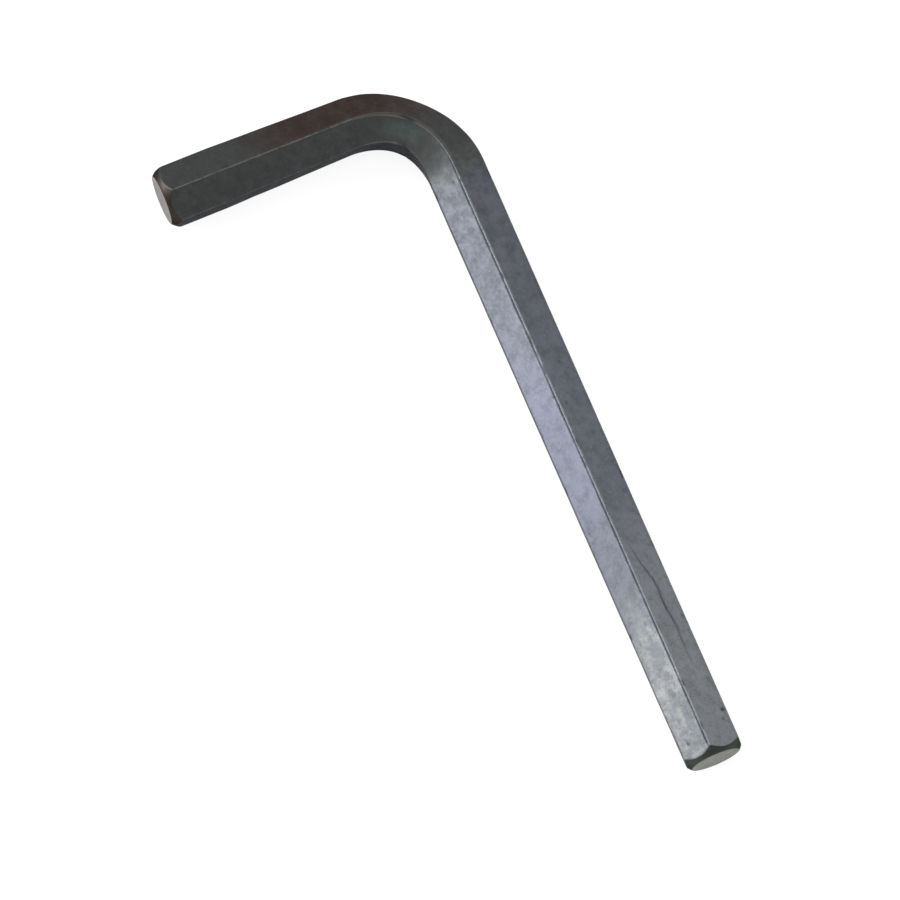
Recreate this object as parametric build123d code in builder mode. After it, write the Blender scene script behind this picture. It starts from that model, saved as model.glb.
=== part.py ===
from build123d import *
from math import cos, pi, radians, sin, sqrt, tan
import os

# A hex key: one bar of hexagonal steel, bent once to a right angle, with both tips chamfered.
# It lies flat on the lower corners of its arms. +Z is up, the long arm runs towards +X and the
# short arm towards -Y. The origin is at the centre of the bounding box's bottom face.

# ---- Driving dimensions, in millimetres and degrees ----
across_flats = 6.0          # working size, held along the long arm and the short tip
long_arm = 78.5             # overall, from the outside of the short arm to the far tip
short_arm = 32.0            # overall, from the outside of the long arm to the far tip
inside_radius = 6.0         # radius at the inner flat of the bend, for a bar of the full section
corner_radius = 0.2         # drawn corners of the bar
long_turn = 7.0             # the bar lies turned about its own axis, upper corner to the inside
short_turn = 4.0            # the same on the short arm
bend_untwist = 7.2          # by how much the turn drops back at the middle of the bend

neck_draw = 0.6             # across flats lost where the short arm enters the bend, drawn down
bend_thinning = 0.11        # share of the radial thickness lost at the middle of the bend
bend_corner_radius = 0.45   # corners at the middle of the bend, flattened against the die
bend_sections = 9           # sections that shape the bend

tip_length = 6.0            # parallel stretch behind the short tip, which enters the socket
tip_face_margin = 0.7       # across flats less the diameter of the flat left by the chamfer
chamfer_angle = 40.0        # the chamfer's cone, measured from the arm's axis

# ---- Sizes that follow from them ----
bend_radius = inside_radius + across_flats / 2
long_centre_run = long_arm - across_flats / 2
short_centre_run = short_arm - across_flats / 2
neck_across_flats = across_flats - neck_draw


def reach(angle_from_corner):
    """Distance from the bar's axis to its outermost point, seen at an angle from a corner."""
    rounding_centre = across_flats / sqrt(3) - corner_radius / cos(radians(30))
    return rounding_centre * cos(radians(angle_from_corner)) + corner_radius


long_side_reach = reach(30 - long_turn)
short_side_reach = reach(30 - short_turn)
axis_height = reach(min(long_turn, short_turn))
corner_x = (short_side_reach - long_centre_run) / 2
corner_y = (short_centre_run - long_side_reach) / 2


def across_bar(x, y, outward, along):
    """Plane across the bar: its x points out of the bend and its normal along the bar."""
    return Plane(origin=(x, y, axis_height), x_dir=outward, z_dir=along)


def short_plane(from_tip):
    """Plane across the short arm, at a distance from its tip."""
    return across_bar(corner_x, corner_y - short_centre_run + from_tip, (-1, 0, 0), (0, 1, 0))


def long_plane(from_tip):
    """Plane across the long arm, at a distance back from its tip."""
    return across_bar(corner_x + long_centre_run - from_tip, corner_y, (0, 1, 0), (1, 0, 0))


def bend_plane(share):
    """Plane across the bend, from 0 at the short arm to 1 at the long arm."""
    turn = share * pi / 2
    outward = (-cos(turn), sin(turn), 0)
    along = (sin(turn), cos(turn), 0)
    x = corner_x + bend_radius + bend_radius * outward[0]
    y = corner_y - bend_radius + bend_radius * outward[1]
    return across_bar(x, y, outward, along)


def bar_section(plane, flats, section_turn, thinning=0.0, rounding=corner_radius):
    """Hexagon turned from corner up, its corners rounded, and thinned along the plane's x."""
    corners = []
    for step in range(6):
        angle = radians(90 + 60 * step + section_turn)
        radius = flats / sqrt(3)
        corners.append((radius * cos(angle) * (1 - thinning), radius * sin(angle)))
    with BuildSketch(plane) as section:
        Polygon(*corners, align=None)
        fillet(section.vertices(), radius=rounding)
    return section.sketch


def bend_section(share):
    """Section of the bend, growing to full size, thinnest and roundest at mid-turn."""
    flats = neck_across_flats + (across_flats - neck_across_flats) * share
    strain = sin(pi * share) ** 2
    section_turn = short_turn + (long_turn - short_turn) * share - bend_untwist * strain
    rounding = corner_radius + (bend_corner_radius - corner_radius) * strain
    return bar_section(bend_plane(share), flats, section_turn, bend_thinning * strain, rounding)


def chamfer_profile(tip, into_bar):
    """Triangle between a tip's end plane and its cone, drawn beside the arm's axis."""
    face_radius = (across_flats - tip_face_margin) / 2
    clear_radius = across_flats
    cone_length = (clear_radius - face_radius) / tan(radians(chamfer_angle))
    with BuildSketch(Plane(tip.origin, x_dir=into_bar, z_dir=(0, 0, 1))) as profile:
        with BuildLine():
            Polyline(
                (0, face_radius),
                (0, clear_radius),
                (cone_length, clear_radius),
                close=True,
            )
        make_face()
    return profile.sketch


short_tip = short_plane(0)
long_tip = long_plane(0)
into_short_arm = (0, 1, 0)
into_long_arm = (-1, 0, 0)
parallel_run = long_centre_run - bend_radius

tip_section = bar_section(short_tip, across_flats, short_turn)
taper_section = bar_section(short_plane(tip_length), across_flats, short_turn)
bend_profiles = [bend_section(step / (bend_sections - 1)) for step in range(bend_sections)]
long_section = bar_section(long_plane(parallel_run), across_flats, long_turn)
short_chamfer = chamfer_profile(short_tip, into_short_arm)
long_chamfer = chamfer_profile(long_tip, into_long_arm)

with BuildPart() as hex_key:
    # Short arm: a parallel tip, then a taper down to the neck.
    extrude(tip_section, amount=tip_length)
    loft([taper_section, bend_profiles[0]], ruled=True)
    # Bend: its sections, carried round the quarter turn.
    loft(bend_profiles)
    # Long arm: parallel from the bend to its tip.
    extrude(long_section, amount=parallel_run)
    # Tips: chamfers turned about each arm's axis.
    revolve(short_chamfer, axis=Axis(short_tip.origin, into_short_arm), mode=Mode.SUBTRACT)
    revolve(long_chamfer, axis=Axis(long_tip.origin, into_long_arm), mode=Mode.SUBTRACT)

hex_key.part.label = "hex_key"

os.makedirs("parts", exist_ok=True)
export_step(hex_key.part, "parts/hex_key.step")

box = hex_key.part.bounding_box()
print("box", box.min, box.max)
print("volume", round(hex_key.part.volume, 2), "solids", len(hex_key.part.solids()))
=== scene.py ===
# %% [markdown]
# # A hex key in Blender
# A hex key is a length of hexagonal steel bar, bent once and chamfered at both tips. The packed
# CAD model fixes its size and place. This script dresses it: the bar is made again as a fine
# mesh that follows the same axis, and gets the black oxide finish of a heat-treated tool.

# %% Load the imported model
import math

import bpy
import numpy as np
from mathutils import Matrix, Vector


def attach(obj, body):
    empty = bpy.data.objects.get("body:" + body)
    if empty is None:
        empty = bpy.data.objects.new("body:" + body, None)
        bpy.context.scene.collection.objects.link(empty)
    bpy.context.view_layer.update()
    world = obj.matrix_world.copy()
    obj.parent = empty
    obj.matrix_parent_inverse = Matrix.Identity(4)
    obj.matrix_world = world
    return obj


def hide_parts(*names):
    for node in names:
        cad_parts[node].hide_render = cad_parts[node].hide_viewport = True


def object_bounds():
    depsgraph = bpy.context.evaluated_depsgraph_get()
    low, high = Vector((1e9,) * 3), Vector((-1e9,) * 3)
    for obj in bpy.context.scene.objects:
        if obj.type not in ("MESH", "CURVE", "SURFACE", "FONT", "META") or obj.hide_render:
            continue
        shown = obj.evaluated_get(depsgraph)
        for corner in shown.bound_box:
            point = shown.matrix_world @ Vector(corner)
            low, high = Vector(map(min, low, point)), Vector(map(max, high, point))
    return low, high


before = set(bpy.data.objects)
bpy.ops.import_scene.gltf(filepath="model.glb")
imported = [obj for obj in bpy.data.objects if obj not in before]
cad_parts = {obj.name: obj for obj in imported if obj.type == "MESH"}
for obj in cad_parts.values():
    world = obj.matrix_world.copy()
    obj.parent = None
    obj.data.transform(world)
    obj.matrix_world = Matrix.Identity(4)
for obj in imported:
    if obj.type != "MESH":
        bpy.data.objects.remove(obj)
cad_low, cad_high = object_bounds()
print("CAD box, mm:", [round(1000 * v, 3) for v in (*cad_low, *cad_high)])

# %% [markdown]
# ## The bar's axis
# The key lies flat, so its axis is a plan drawing: a straight short arm, a quarter turn and a
# straight long arm. It could be a Blender curve with a bevel, but a curve can't thin the bar in
# the bend or clip its tips to a cone. So every point of the axis is worked out from its distance
# along the bar, and the section is carried along it. The sizes are the CAD model's own.

# %% Sizes, in millimetres
MM = 0.001
across_flats = 6.0
corner_radius = 0.2
long_turn = math.radians(7.0)
short_turn = math.radians(4.0)
bend_untwist = math.radians(7.2)
inside_radius = 6.0
neck_across_flats = 5.4
bend_thinning = 0.11
bend_corner_radius = 0.45
tip_length = 6.0
tip_face_radius = 2.65
chamfer_slope = math.tan(math.radians(40.0))
print("bar across flats, mm:", across_flats)

# %% Place of the axis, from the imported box
bend_radius = inside_radius + across_flats / 2
low = np.array(cad_low) / MM
high = np.array(cad_high) / MM
corner_circle = across_flats / math.sqrt(3)


def reach(angle):
    """Distance from the axis to the outside of the full section, at an angle from a corner:
    the rounding's centre seen along that direction, plus the rounding's radius."""
    rounding_centre = corner_circle - corner_radius / math.cos(math.pi / 6)
    return rounding_centre * math.cos(angle) + corner_radius


axis_height = low[2] + reach(min(short_turn, long_turn))
corner = np.array([
    low[0] + reach(math.pi / 6 - short_turn),
    high[1] - reach(math.pi / 6 - long_turn),
])
short_run = corner[1] - low[1] - bend_radius
long_run = high[0] - corner[0] - bend_radius
bend_run = bend_radius * math.pi / 2
bar_run = short_run + bend_run + long_run
print("runs, mm:", round(short_run, 3), round(bend_run, 3), round(long_run, 3))

# %% The axis as a function of distance


def axis_at(along):
    """Point, direction and outward side of the axis, for distances along the bar from the short
    tip. The turn is the distance past the short arm over the bend's radius, held between zero
    and a quarter turn. What lies before or after the bend is added along the direction."""
    turn = np.clip((along - short_run) / bend_radius, 0, math.pi / 2)
    zero = np.zeros_like(turn)
    outward = np.stack([-np.cos(turn), np.sin(turn), zero], -1)
    direction = np.stack([np.sin(turn), np.cos(turn), zero], -1)
    straight = np.minimum(along - short_run, 0) + np.maximum(along - short_run - bend_run, 0)
    centre = np.array([corner[0] + bend_radius, corner[1] - bend_radius, axis_height])
    point = centre + bend_radius * outward + straight[:, None] * direction
    return point, direction, outward


def stations():
    """Distances along the bar where a section is made: close together at the chamfers and in
    the bend, wider along the arms."""
    chamfered = 1.4
    tip_steps = 26
    arm_spacing = 0.33
    bend_spacing = 0.24
    first = np.linspace(0, 1, tip_steps) ** 1.3 * chamfered
    short_arm = np.arange(chamfered + arm_spacing, short_run, arm_spacing)
    bend = np.arange(short_run, short_run + bend_run, bend_spacing)
    long_arm = np.arange(short_run + bend_run, bar_run - chamfered, arm_spacing)
    return np.concatenate([first, short_arm, bend, long_arm, bar_run - first[::-1]])


along = stations()
print("stations:", len(along))

# %% [markdown]
# ## The section
# Drawn hexagonal bar has corners that are rounded, not sharp, and it is these roundings that
# catch the light as one thin line down each arm. A cylinder with six sides would have neither.
# Here each corner is an arc between two flats. In the bend the die draws the bar thinner and
# presses its corners into narrow bands.

# %% How the section changes along the bar


def bend_strain(along):
    """How far the bend has worked the bar: the square of a sine wave, from zero at each end of
    the bend to one at the middle of the turn."""
    share = np.clip((along - short_run) / bend_run, 0, 1)
    return np.sin(math.pi * share) ** 2


def turn_at(along):
    """How far the section is turned about the axis: from the short arm's turn to the long
    arm's in equal steps through the bend, less the untwisting at the middle of it."""
    share = np.clip((along - short_run) / bend_run, 0, 1)
    return short_turn + (long_turn - short_turn) * share - bend_untwist * bend_strain(along)


def flats_at(along):
    """Distance across flats: full size over the tip, a straight taper to the neck where the
    bend starts, and a straight return to full size where it ends."""
    knots = [0, tip_length, short_run, short_run + bend_run, bar_run]
    sizes = [across_flats, across_flats, neck_across_flats, across_flats, across_flats]
    return np.interp(along, knots, sizes)


middle_turn = np.array([short_run + bend_run / 2])
print("turn at mid bend, degrees:", np.degrees(turn_at(middle_turn)).round(2)[0])

# %% Columns round the section
CORNERS = 6
ARC_STEPS = 8
FLAT_STEPS = 26
ARC_SHARE = 0.045
CROWDING = 0.11


def around():
    """Columns of the grid round the section, starting at the arc of the lowest corner.
    Returns the corner's number, the angle inside its arc, the share of the way to the next
    corner, and the column's place counted in corners. A sine wave taken from the even steps
    across a flat crowds the columns towards its two corners, where the small marks are."""
    arc = np.linspace(-math.pi / 6, math.pi / 6, ARC_STEPS + 1)
    flat = np.linspace(0, 1, FLAT_STEPS + 1)[1:-1]
    flat = flat - CROWDING * np.sin(2 * math.pi * flat)
    arc_angle = np.concatenate([arc, np.full(FLAT_STEPS - 1, math.pi / 6)])
    flat_share = np.concatenate([np.zeros(ARC_STEPS + 1), flat])
    place = np.concatenate([
        np.linspace(-ARC_SHARE, ARC_SHARE, ARC_STEPS + 1),
        ARC_SHARE + flat * (1 - 2 * ARC_SHARE),
    ])
    number = np.repeat(np.arange(CORNERS), len(place))
    return (number, np.tile(arc_angle, CORNERS), np.tile(flat_share, CORNERS),
            number - CORNERS / 2 + np.tile(place, CORNERS))


corner_number, arc_angle, flat_share, place = around()
print("columns:", len(place))

# %% Outline of the bar at every station


def section_at(along):
    """Outline and outward normal angle at every station and column. A corner's arc is its
    centre plus the rounding turned by the arc's angle. A flat is the straight line from the end
    of one arc to the start of the next. The whole is squeezed across the bend by the thinning."""
    strain = bend_strain(along)[:, None]
    rounding = corner_radius + (bend_corner_radius - corner_radius) * strain
    centre_reach = flats_at(along)[:, None] / math.sqrt(3) - rounding / math.cos(math.pi / 6)
    pitch = 2 * math.pi / CORNERS
    heading = turn_at(along)[:, None] - math.pi / 2 - pitch * corner_number
    following = heading - pitch
    here = heading - arc_angle
    start = -math.pi / 6

    def arc_point(axis_function):
        this = centre_reach * axis_function(heading) + rounding * axis_function(here)
        other = centre_reach * axis_function(following)
        other = other + rounding * axis_function(following - start)
        return this * (1 - flat_share) + other * flat_share

    across = arc_point(np.cos) * (1 - bend_thinning * strain)
    return across, arc_point(np.sin), here


across, upright, normal_angle = section_at(along)
print("section, mm:", round(np.ptp(across[0]), 3), "by", round(np.ptp(upright[0]), 3))

# %% [markdown]
# ## Chamfers
# A real tip is turned on a lathe after the bar is cut, so the chamfer is a cone, and where the
# cone meets the flats it leaves six scallops. A bevel modifier would cut straight facets. Here
# each point is held inside the cone's radius at its distance from the tip, with the two shapes
# blended over a few hundredths of a millimetre, as wear does.

# %% Clip the tips to a cone


def hold_inside(radius, limit, blend):
    """Smooth lesser of two lengths: half their sum, less half the length of their difference
    with a small blend added."""
    return 0.5 * (radius + limit - np.hypot(radius - limit, blend))


edge_wear = 0.05
edge_blend = 0.04
rim_width = 0.10
chamfered_length = 2.0
from_tip = np.minimum(along, bar_run - along)[:, None]
cone = tip_face_radius + chamfer_slope * from_tip - edge_wear * np.exp(-from_tip / edge_wear)
radius = np.hypot(across, upright)
clipped = hold_inside(radius, cone, edge_blend) / radius
chamfered_span = from_tip < chamfered_length
past_cone = np.clip((radius - cone) / rim_width + 0.5, 0, 1)
turned = np.where(chamfered_span, past_cone, 0)
across = np.where(chamfered_span, across * clipped, across)
upright = np.where(chamfered_span, upright * clipped, upright)
print("radius at the tip, mm:", round(float(np.hypot(across[0], upright[0]).max()), 3))

# %% [markdown]
# ## Marks of use and making
# Drawn bar isn't dead flat, its corners carry small nicks, and a seam from the drawing die can
# run down a flat. These are shallow, a few hundredths of a millimetre, but they break up the
# reflections, so they are cut into the mesh, and the finish only darkens them. All of them go
# inwards, so the bar never grows past its CAD size.

# %% Unevenness and dents
station_mm = along[:, None]
corner_offset = (place + 0.5) % 1 - 0.5


def ripple(length_along, length_round, waves, seed):
    """Smooth unevenness held between zero and one: a half, plus the sum of many cosine waves over
    2.4 times the square root of their number. Their direction, phase and length are random, and
    the lengths lie near the given ones."""
    draw = np.random.default_rng(seed)
    total = np.zeros((len(along), len(place)))
    for _ in range(waves):
        rate_along = draw.normal() / length_along
        rate_round = round(draw.normal() * CORNERS / length_round) / CORNERS
        phase = draw.uniform(0, 2 * math.pi)
        total += np.cos(2 * math.pi * (rate_along * station_mm + rate_round * place) + phase)
    return np.clip(0.5 + total / (2.4 * math.sqrt(waves)), 0, 1)


def dent(at_mm, at_place, length, width):
    """Bell-shaped hollow, one deep, at a distance along the bar and a place round it."""
    round_gap = (place - at_place + CORNERS / 2) % CORNERS - CORNERS / 2
    return np.exp(-(((station_mm - at_mm) / length) ** 2) - (round_gap / width) ** 2)


unevenness = 0.010 * ripple(6.0, 1.5, 24, 1) + 0.0025 * ripple(1.8, 0.5, 30, 2)
depth = np.zeros_like(unevenness)
print("unevenness, mm:", round(float(unevenness.max()), 4))

# %% Die lines and a seam
# A die line runs beside each corner, where the drawn bar's flat was pinched. It is deepest
# beside the long arm's upper corner.
upper_corner = np.where(np.abs(place) < 0.5, 1.0, 0.25)
past_bend = np.clip((station_mm - short_run - bend_run + 5) / 7, 0.12, 1)
die_line = np.exp(-(((corner_offset + 0.09) / 0.031) ** 2)) * upper_corner * past_bend
line_strength = 0.55 + 0.45 * ripple(2.5, 8.0, 20, 3)
depth += 0.04 * die_line * line_strength

# One wavy seam, 15 mm long, leaves the long arm's upper corner and runs down its outer flat.
seam_start = bar_run - 24.0
seam_end = bar_run - 9.0
seam_share = np.clip((station_mm - seam_start) / (seam_end - seam_start), 0, 1)
seam_place = 0.12 + 0.45 * np.tanh(3.2 * seam_share) + 0.03 * np.sin(19 * seam_share + 1)
seam_width = 0.04
seam = np.exp(-(((place - seam_place) / seam_width) ** 2)) * np.sin(math.pi * seam_share) ** 0.5
depth += 0.026 * seam
print("die lines and seam, mm deep:", round(float(depth.max()), 3))

# %% Nicks and pits
random = np.random.default_rng(6)
nick_count = 90
pit_count = 40
clear_of_tips = (2, bar_run - 2)
for _ in range(nick_count):
    nick_at = random.uniform(*clear_of_tips)
    nick_corner = random.integers(0, CORNERS) - CORNERS / 2 + random.normal() * 0.02
    nick_depth = random.uniform(0.008, 0.03)
    depth += nick_depth * dent(nick_at, nick_corner, random.uniform(0.25, 0.7), 0.05)

for _ in range(pit_count):
    pit_at = random.uniform(*clear_of_tips)
    pit_place = random.uniform(-CORNERS / 2, CORNERS / 2)
    depth += random.uniform(0.008, 0.03) * dent(pit_at, pit_place, 0.22, 0.05)

# Two more pits sit on the long arm's outer flat, near its tip.
depth += 0.05 * dent(bar_run - 4.1, 0.86, 0.22, 0.05)
depth += 0.03 * dent(bar_run - 3.2, 0.76, 0.16, 0.035)
print("nicks:", nick_count, "pits:", pit_count + 2)

# %% Press the marks in
# In the bend the die flattened each corner into a narrow band with two rims.
band = np.exp(-((corner_offset / (0.8 * ARC_SHARE)) ** 2))
band_depth = 0.03
flattened = band_depth * bend_strain(along)[:, None] * band

unmarked = 0.25
fade_length = 1.2
fade_at_tips = np.clip((from_tip - unmarked) / fade_length, 0, 1)
inwards = (depth + unevenness + flattened) * fade_at_tips
across = across - inwards * np.cos(normal_angle)
upright = upright - inwards * np.sin(normal_angle)
full_hollow = 0.03
hollow = np.clip(depth / full_hollow, 0, 1) * fade_at_tips
print("deepest mark, mm:", round(float(inwards.max()), 3))

# %% [markdown]
# ## The mesh
# The grid of sections becomes one closed mesh: quads along the bar, rings that shrink to the
# middle of each end face, and a fan of triangles at the centre. The end faces are faced off with
# a tool, so they keep a shallow dish and faint rings.

# %% Build the grid and close its ends
CAP_RINGS = 26
DISH = 0.02
TOOL_MARK = 0.006
TOOL_MARKS = 6


def sweep(along, across, upright):
    """Each section point is the axis point, plus its across value along the outward side, plus
    its upright value straight up."""
    point, direction, outward = axis_at(along)
    grid = point[:, None, :] + across[:, :, None] * outward[:, None, :]
    grid[:, :, 2] += upright
    return grid


def end_cap(rim, middle, inward):
    """Rings between the rim and the middle of an end face. Each is the rim drawn towards the
    middle by its share, sunk inwards by a shallow dish and by turning rings."""
    share = (np.arange(1, CAP_RINGS) / CAP_RINGS)[:, None, None]
    marks = TOOL_MARK * (1 - np.cos(2 * math.pi * share * TOOL_MARKS))
    sunk = DISH * np.sin(math.pi * share / 2) + marks
    return rim[None] * (1 - share) + middle * share + sunk * inward


grid = sweep(along, across, upright)
tips, directions, _ = axis_at(np.array([0, bar_run]))
start_middle = tips[0] + DISH * directions[0]
end_middle = tips[1] - DISH * directions[1]
start_cap = end_cap(grid[0], start_middle, directions[0])[::-1]
end_cap_rings = end_cap(grid[-1], end_middle, -directions[1])
rings = np.concatenate([start_cap, grid, end_cap_rings])
row_count, column_count = rings.shape[:2]
points = np.concatenate([rings.reshape(-1, 3), [start_middle, end_middle]]) * MM
print("rings:", row_count, "points:", len(points))

# %% Number the faces


def ring_quads(rows, columns):
    """Corner numbers of the quads between neighbouring rings, closed round each ring."""
    row = np.arange(rows - 1)[:, None] * columns
    here = np.arange(columns)[None]
    there = (here + 1) % columns
    return np.stack([row + here, row + columns + here, row + columns + there, row + there], -1)


quads = ring_quads(row_count, column_count).reshape(-1, 4)
first_ring = np.arange(column_count)
last_ring = first_ring + (row_count - 1) * column_count
start_pole = np.full(column_count, len(points) - 2)
end_pole = np.full(column_count, len(points) - 1)
start_fan = np.stack([start_pole, first_ring, np.roll(first_ring, -1)], -1)
end_fan = np.stack([end_pole, np.roll(last_ring, -1), last_ring], -1)
print("quads:", len(quads), "fan triangles:", len(start_fan) + len(end_fan))

# %% Hand the arrays to Blender
steel_mesh = bpy.data.meshes.new("hex_key_steel")
faces = quads.tolist() + start_fan.tolist() + end_fan.tolist()
steel_mesh.from_pydata(points, [], faces)
steel_mesh.polygons.foreach_set("use_smooth", np.ones(len(faces), bool))

cap_quads = (CAP_RINGS - 1) * column_count
material_numbers = np.zeros(len(faces), np.int32)
material_numbers[:cap_quads] = 1
material_numbers[len(quads) - cap_quads:] = 1
steel_mesh.polygons.foreach_set("material_index", material_numbers)
print("faces on the ends:", int(material_numbers.sum()))

# %% [markdown]
# ## A map that follows the bar
# The finish changes along the bar and from corner to flat, whatever way the bar turns. So the
# mesh carries a UV map in which U is the distance from the short tip and V is the place round
# the section, counted in corners, with nought at the upper corner. The seam of the map runs
# along the bottom.

# %% Write the map
U_LENGTH = 100.0
V_CORNERS = 10.0
rows_along = np.concatenate([
    np.zeros(CAP_RINGS - 1), along, np.full(CAP_RINGS - 1, bar_run)
])
map_u = np.repeat(rows_along / U_LENGTH, column_count)
map_v = np.tile(place / V_CORNERS, row_count)


def corner_values(values, wraps):
    """Map value at each quad corner, in the order of the quads. The two corners past the last
    column get a whole turn more when the value goes round the bar."""
    picked = values[quads].copy()
    if wraps:
        past_end = quads[:, 0] % column_count == column_count - 1
        picked[past_end, 2:] += CORNERS / V_CORNERS
    return picked.ravel()


# The fans at the two middles, a fifth of a millimetre across, are left at the map's origin.
bar_map = steel_mesh.uv_layers.new(name="bar")
quad_uv = np.stack([corner_values(map_u, False), corner_values(map_v, True)], -1)
fan_uv = np.zeros((6 * column_count, 2))
bar_map.data.foreach_set("uv", np.concatenate([quad_uv, fan_uv]).astype(np.float32).ravel())
steel_mesh.validate()
steel_mesh.update()
print("map corners:", len(steel_mesh.loops))

# %% Store where the chamfers and the hollows are


def write_attribute(name, values):
    """Store one number per point: the value on the bar's own rows, nought on the end faces."""
    everywhere = np.zeros(len(points))
    first = (CAP_RINGS - 1) * column_count
    everywhere[first:first + values.size] = values.ravel()
    attribute = steel_mesh.attributes.new(name, "FLOAT", "POINT")
    attribute.data.foreach_set("value", everywhere.astype(np.float32))


write_attribute("turned", turned)
write_attribute("hollow", hollow)

hex_key = bpy.data.objects.new("hex_key_steel", steel_mesh)
bpy.context.scene.collection.objects.link(hex_key)
print("attributes:", turned.shape, hollow.shape)

# %% [markdown]
# ## Black oxide on heat-treated steel
# The real finish is black oxide, about a micrometre of iron oxide made by boiling the hardened
# and tempered key in a caustic bath and oiling it. It isn't paint. The eye sees a dark metal with
# a satin sheen: cloudy where the bath was uneven, brown where the bend was worked, and paler
# where hands and sockets have rubbed it. So the material is a full metal, and its colour is laid
# down in layers, each with a colour, a strength and the places where it starts and is full. Some
# of these layers are painted light and shade: lighter on the long arm and its inner side, a pale
# line on the upper corner, and darker lower flats, underside and bend exit.

# %% Three helpers for materials


def linear(hex_colour):
    """sRGB hex to the linear colour that Blender's nodes expect: the low end is divided by
    12.92, the rest is a 2.4 power curve."""
    values = [int(hex_colour[i:i + 2], 16) / 255 for i in (1, 3, 5)]
    curved = [v / 12.92 if v <= 0.04045 else ((v + 0.055) / 1.055) ** 2.4 for v in values]
    return (*curved, 1.0)


def add(tree, kind, inputs, output=0, **settings):
    """Add one node to a tree. Settings are its properties. Inputs are filled by name or number,
    with a link where the value is another node's socket. Returns one of its outputs."""
    node = tree.nodes.new("ShaderNode" + kind)
    for name, value in settings.items():
        setattr(node, name, value)
    for key, value in inputs.items():
        if isinstance(value, bpy.types.NodeSocket):
            tree.links.new(value, node.inputs[key])
        else:
            node.inputs[key].default_value = value
    return node.outputs[output] if node.outputs else None


def lay_colours(tree, ground, layers):
    """Start from a ground colour and lay each layer over it. A layer is a colour, a strength and
    the ramps that place it. A ramp is what it reads, and the readings at which the layer is
    absent and full. The layer's cover is its strength times all its ramps."""
    colour = linear(ground)
    for tint, strength, ramps in layers:
        cover = strength
        for reading, absent, full in ramps:
            ramp = add(tree, "MapRange", {0: reading, 1: absent, 2: full},
                       interpolation_type="SMOOTHSTEP")
            cover = add(tree, "Math", {0: ramp, 1: cover}, operation="MULTIPLY")
        colour = add(tree, "Mix", {0: cover, 6: colour, 7: linear(tint)}, 2, data_type="RGBA")
    return colour


print("mid grey, linear:", round(linear("#808080")[0], 3))

# %% [markdown]
# ## Where a point lies on the bar
# Most of this finish depends on the distance along the bar and the place round it, so the map
# is turned back into millimetres and corners once, here. Round the bar, nought is the
# upper corner, the outer upper flat lies between 0 and 1 and the inner one between -1 and 0.

# %% Read the map and the attributes
oxide = bpy.data.materials.new("black_oxide_on_drawn_steel")
oxide.use_nodes = True
tree = oxide.node_tree
tree.nodes.clear()

bar_uv = add(tree, "UVMap", {}, uv_map="bar")
map_along = add(tree, "SeparateXYZ", {0: bar_uv}, "X")
map_round = add(tree, "SeparateXYZ", {0: bar_uv}, "Y")
from_short_tip = add(tree, "Math", {0: map_along, 1: U_LENGTH}, operation="MULTIPLY")
round_bar = add(tree, "Math", {0: map_round, 1: V_CORNERS}, operation="MULTIPLY")
from_corner = add(tree, "Math", {0: round_bar, 1: 0.5, 2: -0.5}, operation="WRAP")
turned_off = add(tree, "Attribute", {}, "Fac", attribute_name="turned")
hollow_here = add(tree, "Attribute", {}, "Fac", attribute_name="hollow")
print("map read, nodes so far:", len(tree.nodes))

# %% [markdown]
# ## Patterns of the oxide
# An oxide bath leaves soft clouds, handling leaves specks and scuffs. Each pattern is noise with
# a real size. The grit of real oxide is some hundredths of a millimetre, too fine to show, so
# it is drawn about five times as coarse.

# %% Noise patterns, by features per millimetre, detail and roughness
object_place = add(tree, "TexCoord", {}, "Object")
pattern_sizes = {
    "drift": (0.25, 2.0, 0.55),
    "casts": (0.4, 2.0, 0.5),
    "rubbed": (0.55, 5.0, 0.68),
    "clouds": (0.8, 5.0, 0.62),
    "wear breaks": (1.3, 3.0, 0.55),
    "fine clouds": (2.8, 4.0, 0.6),
    "grit": (7.0, 2.0, 0.5),
}
pattern = {}
for name, (per_mm, detail, roughness) in pattern_sizes.items():
    noise_inputs = {"Vector": object_place, "Scale": per_mm / MM, "Detail": detail,
                    "Roughness": roughness}
    pattern[name] = add(tree, "TexNoise", noise_inputs)

# Scuffs run round the bar: about 0.4 mm along it and 1 mm round it.
scuff_stretch = (2.4 * U_LENGTH, 3.4 * V_CORNERS, 0.0)
scuff_place = add(tree, "VectorMath", {0: bar_uv, 1: scuff_stretch}, operation="MULTIPLY")
scuff_inputs = {"Vector": scuff_place, "Scale": 1.0, "Detail": 3.0, "Roughness": 0.6}
pattern["scuffs"] = add(tree, "TexNoise", scuff_inputs)

coarse_share = add(tree, "Math", {0: pattern["clouds"], 1: 0.6}, operation="MULTIPLY")
fine_inputs = {0: pattern["fine clouds"], 1: 0.4, 2: coarse_share}
shade = add(tree, "Math", fine_inputs, operation="MULTIPLY_ADD")

# Distance along the bar, shifted up to 3 mm either way, so that no colour ends in a ring.
drift_inputs = {0: pattern["drift"], 1: 6.0, 2: from_short_tip}
shifted = add(tree, "Math", drift_inputs, operation="MULTIPLY_ADD")
place_along = add(tree, "Math", {0: shifted, 1: 3.0}, operation="SUBTRACT")
print("patterns:", ", ".join(pattern))

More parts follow.
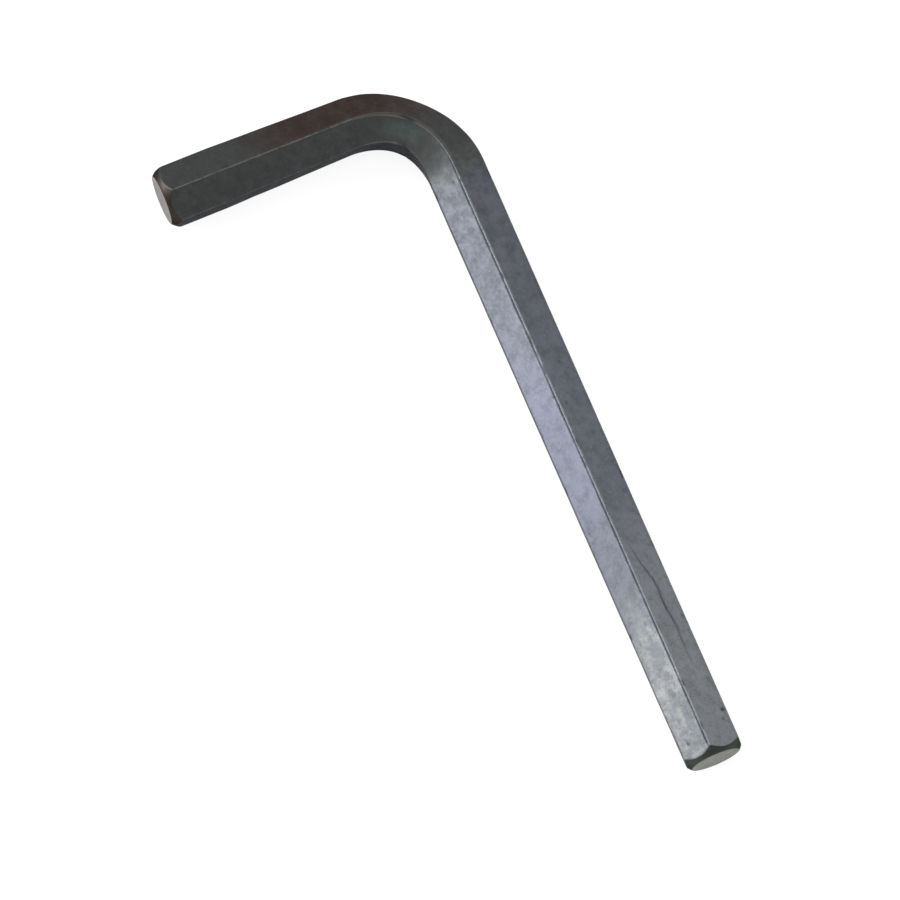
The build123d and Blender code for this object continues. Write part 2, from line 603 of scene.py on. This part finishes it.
# %% Gaps from the lines and places that the finish follows
bend_end = short_run + bend_run
middles = {
    "upper corner": (round_bar, 0.0),
    "outer flat": (round_bar, 0.6),
    "inner flat": (round_bar, -0.5),
    "neck": (place_along, short_run - 1.0),
    "thin oxide": (place_along, bend_end - 7.5),
    "bend exit": (place_along, bend_end - 1.0),
    "mid turn": (from_short_tip, short_run + bend_run / 2),
    "corner": (from_corner, 0.0),
    "chamfer edge": (turned_off, 0.3),
}
gap = {}
for name, (reading, middle) in middles.items():
    difference = add(tree, "Math", {0: reading, 1: middle}, operation="SUBTRACT")
    gap[name] = add(tree, "Math", {0: difference}, operation="ABSOLUTE")
band_half_width = 0.048
off_rim = add(tree, "Math", {0: gap["corner"], 1: band_half_width}, operation="SUBTRACT")
gap["band rim"] = add(tree, "Math", {0: off_rim}, operation="ABSOLUTE")
print("gaps:", ", ".join(gap))

# %% [markdown]
# ## Broad colours
# The short arm is dark and neutral, because nothing rubs it, and the long arm is blue-grey and
# lighter. That step is partly painted light, standing in for the key light on the long arm. The
# long arm is paler over its last stretch, which goes into sockets, and its inner side is painted
# lighter still, as painted light where the key light falls. The bend is brown outside, where heat
# and bending worked it, and greenish inside, where the oxide is thin. The inner flat near the
# bend's exit, the lower flats on the inner side and the underside are painted darker, as painted
# shade.

# %% Layers of broad colour and painted light
on_long_arm = (place_along, bend_end - 0.5, bend_end + 3.5)
on_rubbed_end = (place_along, bar_run - 20.0, bar_run - 13.0)
on_inner_side = (round_bar, 0.06, -0.06)
on_outer_side = (round_bar, -0.06, 0.06)
on_side_flat = (round_bar, -1.0, -1.08)
before_long_arm = (place_along, bend_end + 3.0, bend_end - 2.0)

broad_colour_and_painted_light_layers = [
    # Partly painted light: the long arm is painted lighter than the short arm, in part standing in
    # for the key light on it.
    ("#5F6369", 1.0, [on_long_arm]),
    ("#686C74", 1.0, [(place_along, bend_end, bar_run - 35.0)]),
    # Painted light: the long arm's inner side is painted lighter, where the key light falls on it.
    ("#7C808B", 0.22, [(place_along, bend_end + 4.0, bar_run - 45.0), on_inner_side]),
    ("#7E8193", 0.4, [(place_along, bar_run - 50.0, bar_run - 40.0),
                      (place_along, bar_run - 24.0, bar_run - 30.0), on_inner_side]),
    ("#7E8285", 1.0, [(place_along, bar_run - 30.0, bar_run - 18.0), on_outer_side]),
    ("#7E8285", 1.0, [(place_along, bar_run - 21.0, bar_run - 13.0), on_inner_side]),
    ("#4E413D", 1.0, [(gap["outer flat"], 0.75, 0.4), (gap["neck"], 13.0, 3.0)]),
    ("#5F6964", 1.0, [(gap["inner flat"], 0.45, 0.1), (gap["thin oxide"], 3.0, 0.5)]),
    # Painted shade: the inner flat near the bend's exit is painted darker.
    ("#3B3E40", 0.5, [(gap["inner flat"], 0.6, 0.3), (gap["bend exit"], 2.5, 0.5)]),
    # Painted shade: the next three layers paint the lower flats on the inner side, and the
    # underside, darker.
    ("#414345", 1.0, [on_side_flat, before_long_arm]),
    ("#45474A", 0.5, [on_side_flat]),
    ("#4C4E50", 1.0, [(gap["upper corner"], 1.95, 2.1)]),
]
print("broad layers:", len(broad_colour_and_painted_light_layers))

# %% [markdown]
# ## Clouds and rubbing
# Pale and dark clouds lie over the broad colours, with a faint violet cast on the long arm. The
# pale clouds are stronger on the long arm's inner side, as painted light where the key light
# falls. The rubbed end has soft pale patches about 2 mm wide on its upper inner flat, with scuffs
# across them.

# %% Layers of clouds, with painted light
on_inner_flat = (gap["inner flat"], 0.8, 0.5)
cloud_and_painted_light_layers = [
    ("#9194A2", 0.10, [(shade, 0.42, 0.66)]),
    # Partly painted light: these clouds are stronger on the long arm's inner side, where the key
    # light falls.
    ("#9194A2", 0.18, [(shade, 0.42, 0.66), on_long_arm, on_inner_side]),
    ("#404448", 0.24, [(shade, 0.52, 0.34)]),
    ("#73717F", 0.22, [(pattern["casts"], 0.45, 0.65), on_long_arm]),
    ("#9FA09F", 0.15, [(pattern["rubbed"], 0.42, 0.66), on_rubbed_end]),
    ("#ABACAB", 0.65, [(pattern["rubbed"], 0.42, 0.66), on_rubbed_end, on_inner_flat,
                       on_inner_side]),
    ("#A0A3A2", 0.2, [(pattern["scuffs"], 0.5, 0.7), on_rubbed_end, on_inner_flat]),
    ("#5E6164", 0.4, [(pattern["grit"], 0.42, 0.34), on_rubbed_end]),
]
print("cloud layers:", len(cloud_and_painted_light_layers))

# %% [markdown]
# ## Worn corners, a painted highlight, hollows and chamfers
# Bare steel shows faintly on every corner, and as one thin line on the upper corner, broken by
# what is left of the oxide. That upper line is partly wear and partly a painted highlight, where
# the overhead light's line falls. In the bend, the corner is a flattened band, and its two rims
# are worn. Hollows and chamfers keep their full oxide, because nothing reaches them.

# %% Layers of wear and a painted highlight
near_top = (gap["upper corner"], 0.5, 0.3)
breaks = (pattern["wear breaks"], 0.30, 0.52)
off_the_bend = (gap["mid turn"], 4.0, 9.0)
in_the_bend = (gap["mid turn"], 9.0, 4.0)
on_chamfer = (turned_off, 0.3, 0.8)

wear_and_painted_highlight_layers = [
    ("#84857F", 0.05, [(gap["corner"], 0.060, 0.030), breaks]),
    # Partly wear, partly painted highlight: the next two layers make the upper corner's pale line,
    # where the overhead light's line falls.
    ("#84857F", 0.42, [(gap["corner"], 0.048, 0.026), near_top, breaks, off_the_bend]),
    ("#9295A0", 0.6, [(gap["corner"], 0.060, 0.030), near_top, breaks, on_long_arm,
                      off_the_bend]),
    ("#83837F", 0.5, [(gap["band rim"], 0.02, 0.006), near_top, in_the_bend]),
    ("#34363A", 0.85, [(hollow_here, 0.0, 1.0)]),
    ("#413B37", 1.0, [on_chamfer]),
    ("#4B4E49", 1.0, [on_chamfer, on_long_arm]),
    ("#8E918F", 0.35, [(gap["chamfer edge"], 0.25, 0.05), on_long_arm]),
    ("#B4B6B8", 0.35, [(pattern["grit"], 0.66, 0.76), on_long_arm]),
    ("#2E3033", 0.3, [(pattern["grit"], 0.36, 0.27)]),
]
layers = broad_colour_and_painted_light_layers + cloud_and_painted_light_layers + wear_and_painted_highlight_layers
colour = lay_colours(tree, "#555756", layers)
print("colour layers:", len(layers))

# %% [markdown]
# ## Sheen and relief
# Oiled oxide is satin: its roughness is a little over 0.4, and lower in the paler clouds. It
# doesn't turn into a mirror at a glancing angle as bare steel does, so the edge tint is dark.
# The relief is about a hundredth of a millimetre deep, which only breaks up the highlights.

# %% Finish the bar's material
roughness_inputs = {0: shade, 1: 0.3, 2: 0.7, 3: 0.48, 4: 0.38}
roughness = add(tree, "MapRange", roughness_inputs)
fine_height = add(tree, "Math", {0: pattern["fine clouds"], 1: 0.7}, operation="MULTIPLY")
height_inputs = {0: pattern["grit"], 1: 0.3, 2: fine_height}
height = add(tree, "Math", height_inputs, operation="MULTIPLY_ADD")
relief = add(tree, "Bump", {"Strength": 0.2, "Distance": 0.012 * MM, "Height": height})
steel = add(tree, "BsdfPrincipled", {
    "Base Color": colour,
    "Metallic": 1.0,
    "Roughness": roughness,
    "Specular Tint": (0.36, 0.36, 0.36, 1.0),
    "Normal": relief,
})
add(tree, "OutputMaterial", {"Surface": steel})
print("nodes in the bar's material:", len(tree.nodes))

# %% [markdown]
# ## The end faces
# The ends were faced in the same turning as the chamfers, before the bath. Their oxide is matt and
# carries fine level scratches. Real scratches are some hundredths of a millimetre apart, too fine
# to show, and are drawn 0.15 mm apart.

# %% Oxidised steel, faced
faced = bpy.data.materials.new("faced_end_of_oxidised_steel")
faced.use_nodes = True
tree = faced.node_tree
tree.nodes.clear()

object_place = add(tree, "TexCoord", {}, "Object")
level = add(tree, "VectorMath", {0: object_place, 1: (1.0, 1.0, 7.0)}, operation="MULTIPLY")
fine_noise = {"Detail": 3.0, "Roughness": 0.6}
end_clouds = add(tree, "TexNoise", {"Vector": object_place, "Scale": 1.2 / MM, **fine_noise})
end_grit = add(tree, "TexNoise", {"Vector": object_place, "Scale": 8.0 / MM, **fine_noise})
scratches = add(tree, "TexNoise", {"Vector": level, "Scale": 1.0 / MM, **fine_noise})
end_uv = add(tree, "UVMap", {}, uv_map="bar")
end_along = add(tree, "SeparateXYZ", {0: end_uv}, "X")
end_colour = lay_colours(tree, "#5F625B", [
    ("#74776F", 1.0, [(end_clouds, 0.35, 0.65)]),
    ("#A3A59E", 0.3, [(scratches, 0.5, 0.7)]),
    ("#45473F", 0.4, [(scratches, 0.48, 0.3)]),
    ("#746F6B", 0.55, [(end_along, 0.6, 0.3)]),
    ("#4A4C49", 0.5, [(end_grit, 0.36, 0.28)]),
])
end_relief = add(tree, "Bump", {"Strength": 0.4, "Distance": 0.02 * MM, "Height": scratches})
end_steel = add(tree, "BsdfPrincipled", {
    "Base Color": end_colour,
    "Metallic": 1.0,
    "Roughness": 0.45,
    "Normal": end_relief,
})
add(tree, "OutputMaterial", {"Surface": end_steel})
print("nodes in the end faces' material:", len(tree.nodes))

# %% [markdown]
# ## Put the key in the frame
# The mesh takes the place of the plain CAD bar. It rides on the one body that the key has, so it
# stays where the CAD model says.

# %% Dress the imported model
steel_mesh.materials.append(oxide)
steel_mesh.materials.append(faced)
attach(hex_key, "root")
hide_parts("hex_key")

# %% [markdown]
# ## Floor and tent
# The key lies on a white sweep in a light tent. More light would whiten the paper, but it would
# also wash out the steel. So the paper is mid grey, and the rest of its white is a glow that only
# the camera, reflections and glass see. The floor keeps the key's shadow.

# %% The white sweep
GLOW = 0.86
FLOOR_HALF = 3.0
sweep_paper = bpy.data.materials.new("white_paper_sweep")
sweep_paper.use_nodes = True
tree = sweep_paper.node_tree
tree.nodes.clear()

seen = add(tree, "LightPath", {}, "Is Camera Ray")
for ray in ("Is Glossy Ray", "Is Transmission Ray"):
    other = add(tree, "LightPath", {}, ray)
    seen = add(tree, "Math", {0: seen, 1: other}, operation="MAXIMUM")
glow = add(tree, "Math", {0: seen, 1: GLOW}, operation="MULTIPLY")
white = add(tree, "Emission", {"Color": (1, 1, 1, 1), "Strength": glow})
paper = add(tree, "BsdfDiffuse", {"Color": linear("#9A9A9A")})
lit_paper = add(tree, "AddShader", {0: paper, 1: white})
add(tree, "OutputMaterial", {"Surface": lit_paper})

floor_mesh = bpy.data.meshes.new("floor")
floor_sides = np.array([(-1, -1), (1, -1), (1, 1), (-1, 1)]) * FLOOR_HALF
floor_corners = [(x, y, cad_low.z) for x, y in floor_sides]
floor_mesh.from_pydata(floor_corners, [], [(0, 1, 2, 3)])
floor_mesh.materials.append(sweep_paper)
floor = bpy.data.objects.new("floor", floor_mesh)
bpy.context.scene.collection.objects.link(floor)
print("floor side, m:", 2 * FLOOR_HALF)

# %% The light tent
TENT_LEVEL = 0.5
world = bpy.data.worlds.new("light_tent")
bpy.context.scene.world = world
world.use_nodes = True
tree = world.node_tree
tree.nodes.clear()
tent = add(tree, "Background", {"Color": (1, 1, 1, 1), "Strength": TENT_LEVEL})
add(tree, "OutputWorld", {"Surface": tent})
print("tent level:", TENT_LEVEL)

# %% [markdown]
# ## Lights and camera
# One large soft light from the short arm's side brightens the flats that face it, a weaker one
# from behind the long arm lifts the others, and a small one overhead draws the corner line. The
# rest of the tent is dimmer, and that contrast makes a dark metal read as metal. The camera looks
# down steeply.

# %% Lights
key_middle = (cad_low + cad_high) / 2


def soft_light(name, towards, distance, width, height, power):
    """A rectangular soft box at a direction and distance from the key, facing it."""
    lamp = bpy.data.lights.new(name, "AREA")
    lamp.shape = "RECTANGLE"
    lamp.size = width
    lamp.size_y = height
    lamp.energy = power
    holder = bpy.data.objects.new(name, lamp)
    bpy.context.scene.collection.objects.link(holder)
    aim = Vector(towards).normalized()
    holder.location = key_middle + aim * distance
    holder.rotation_euler = aim.to_track_quat("Z", "Y").to_euler()
    holder.visible_camera = False


soft_light("left_soft_box", (-0.56, -0.71, 0.42), 0.6, 0.32, 0.36, 3.1)
soft_light("right_soft_box", (-0.08, 0.81, 0.56), 0.6, 0.30, 0.36, 0.28)
soft_light("overhead_strip", (-0.1, 0.05, 1.0), 0.7, 0.20, 0.16, 0.35)
print("lights:", [lamp.name for lamp in bpy.data.lights])

# %% Camera
view_azimuth = math.radians(57.25)
view_elevation = math.radians(75.06)
view_roll = math.radians(9.96)
view_distance = 1.5
frame_width = 91.44 * MM
aim_offset = Vector((-0.749, 0.757, 0.0)) * MM

back = Vector((
    math.sin(view_azimuth) * math.cos(view_elevation),
    -math.cos(view_azimuth) * math.cos(view_elevation),
    math.sin(view_elevation),
))
camera_data = bpy.data.cameras.new("camera")
camera_data.sensor_width = 36.0
camera_data.lens = camera_data.sensor_width * view_distance / frame_width
camera = bpy.data.objects.new("camera", camera_data)
bpy.context.scene.collection.objects.link(camera)
level = back.to_track_quat("Z", "Y").to_matrix()
rolled = level @ Matrix.Rotation(view_roll, 3, "Z")
aim_point = Vector((0, 0, axis_height * MM)) + aim_offset
camera.matrix_world = Matrix.Translation(aim_point + back * view_distance) @ rolled.to_4x4()
bpy.context.scene.camera = camera
bpy.context.scene.view_settings.view_transform = "Standard"
print("lens, mm:", round(camera_data.lens, 1))
